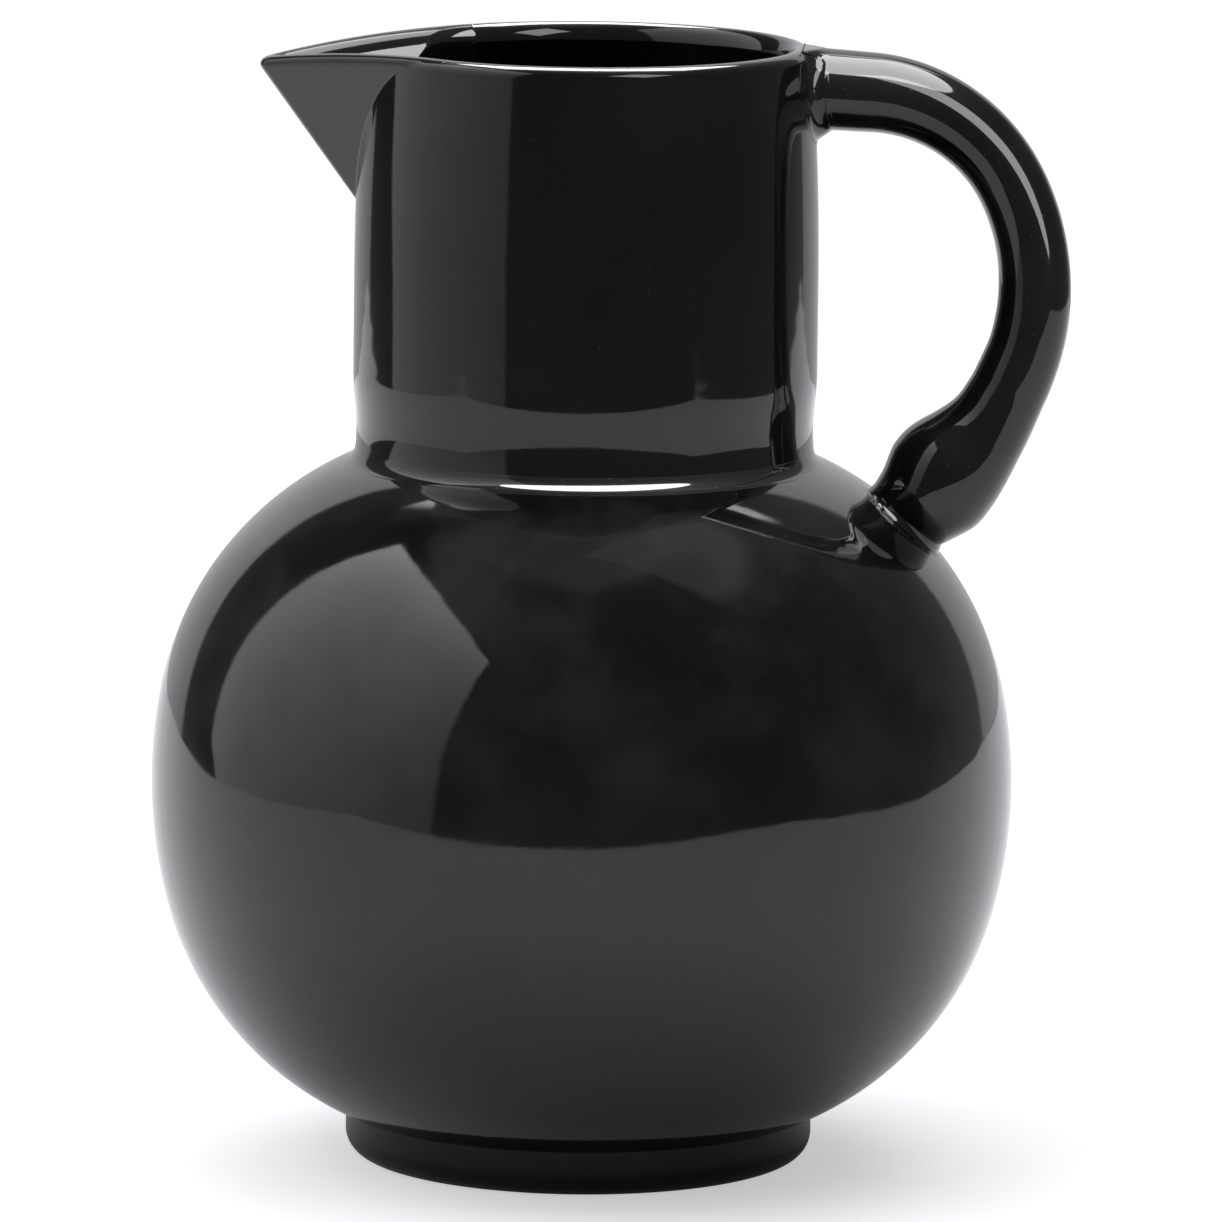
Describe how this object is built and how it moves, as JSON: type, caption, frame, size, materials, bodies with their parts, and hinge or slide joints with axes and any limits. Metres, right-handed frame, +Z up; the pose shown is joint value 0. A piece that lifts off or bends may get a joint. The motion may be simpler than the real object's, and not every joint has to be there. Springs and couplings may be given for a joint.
{
  "type": "oinochoe jug",
  "caption": "Pouring jug of the oinochoe kind: globe body on a low foot ring, straight round neck, keel-shaped spout with an open channel, round loop handle.",
  "frame": {"origin": "centre of the foot ring's tread, on the plane that the jug stands on", "axes": "+Z up along the axis of the globe and the neck, +X towards the handle, -X towards the spout, XZ the jug's plane of symmetry"},
  "size_m": [0.1897, 0.1792, 0.2326],
  "materials": {
    "black_glaze": "deep glossy black glaze over fired clay",
    "foot_glaze": "thin satin black glaze, wiped off the tread"
  },
  "bodies": {
    "root": {"globe": "black_glaze", "foot_ring": "foot_glaze", "neck": "black_glaze", "neck_coil": "black_glaze", "spout": "black_glaze", "handle": "black_glaze", "handle_top_coil": "black_glaze", "handle_seat_coil": "black_glaze"}
  },
  "joints": []
}
